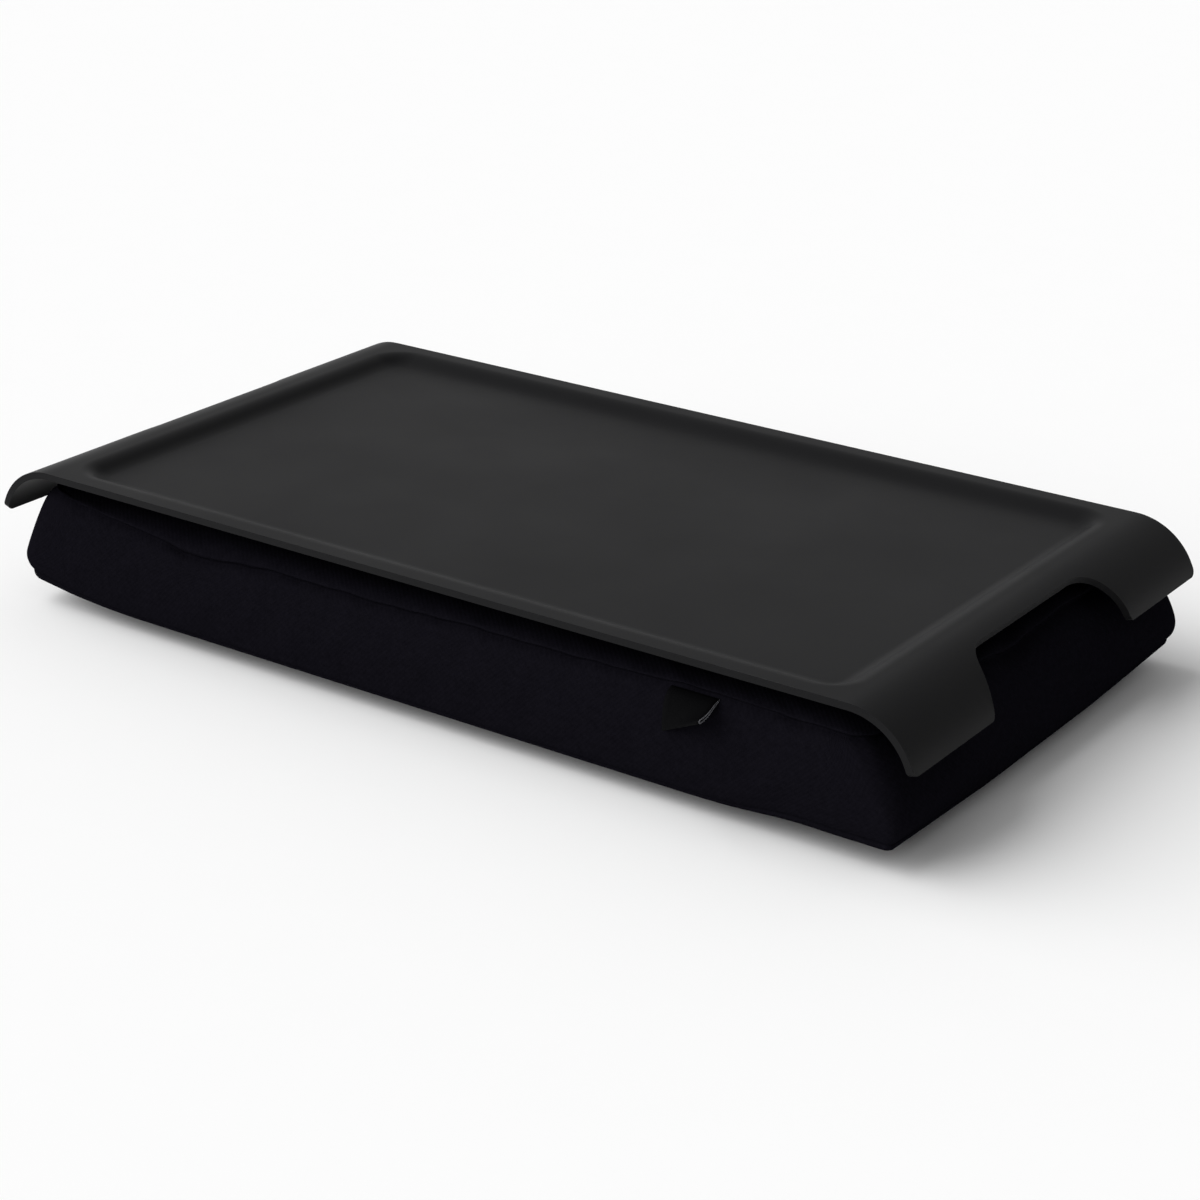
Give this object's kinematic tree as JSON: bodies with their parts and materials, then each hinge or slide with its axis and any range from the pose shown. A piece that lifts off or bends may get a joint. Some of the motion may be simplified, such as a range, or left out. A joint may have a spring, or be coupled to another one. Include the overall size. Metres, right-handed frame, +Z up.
{
  "type": "lap tray with cushion",
  "caption": "Lap tray: a moulded tray with a shallow recessed panel and curled-down ends with hand notches, held by hook-and-loop pads on a boxed cushion with a zipped cover.",
  "frame": {"origin": "middle of the footprint, on the surface that the cushion rests on", "axes": "+X along the tray to its right end, -Y to the front where the seam label is, +Z up"},
  "size_m": [0.4296, 0.2331, 0.06],
  "materials": {
    "tray_plastic": "matte",
    "cover_cotton": "matte",
    "liner_cloth": "matte",
    "beads": "matte",
    "label_weave": "satin",
    "hook_strip": "matte",
    "loop_strip": "matte",
    "zip_tape": "matte",
    "zip_coil": "satin",
    "zip_metal": "satin"
  },
  "bodies": {
    "cushion": {"top_panel": "cover_cotton", "side_band": "cover_cotton", "rear_band_upper": "cover_cotton", "rear_band_lower": "cover_cotton", "bottom_panel": "cover_cotton", "liner_bag": "liner_cloth", "bead_fill": "beads", "seam_label": "label_weave", "loop_pad_front_left": "loop_strip", "loop_pad_front_right": "loop_strip", "loop_pad_rear_left": "loop_strip", "loop_pad_rear_right": "loop_strip", "zip_tape_upper": "zip_tape", "zip_tape_lower": "zip_tape", "zip_coil_upper": "zip_coil", "zip_coil_lower": "zip_coil", "zip_stop_closed": "zip_metal", "zip_stop_open": "zip_metal"},
    "tray": {"tray": "tray_plastic", "hook_pad_front_left": "hook_strip", "hook_pad_front_right": "hook_strip", "hook_pad_rear_left": "hook_strip", "hook_pad_rear_right": "hook_strip"},
    "zip_slider": {"zip_slider": "zip_metal"},
    "zip_pull": {"zip_pull": "zip_metal"}
  },
  "joints": [
    {"name": "tray_lift", "type": "slide", "parent": "cushion", "child": "tray", "axis": [0, 0, 1], "range_m": [0, 0.12]},
    {"name": "zip_slide", "type": "slide", "parent": "cushion", "child": "zip_slider", "axis": [-1, 0, 0], "range_m": [0, 0.341]},
    {"name": "zip_pull_swing", "type": "hinge", "parent": "zip_slider", "child": "zip_pull", "pos_m": [0.1707, 0.1153, 0.024], "axis": [0, 0, -1], "range_deg": [0, 180]}
  ]
}
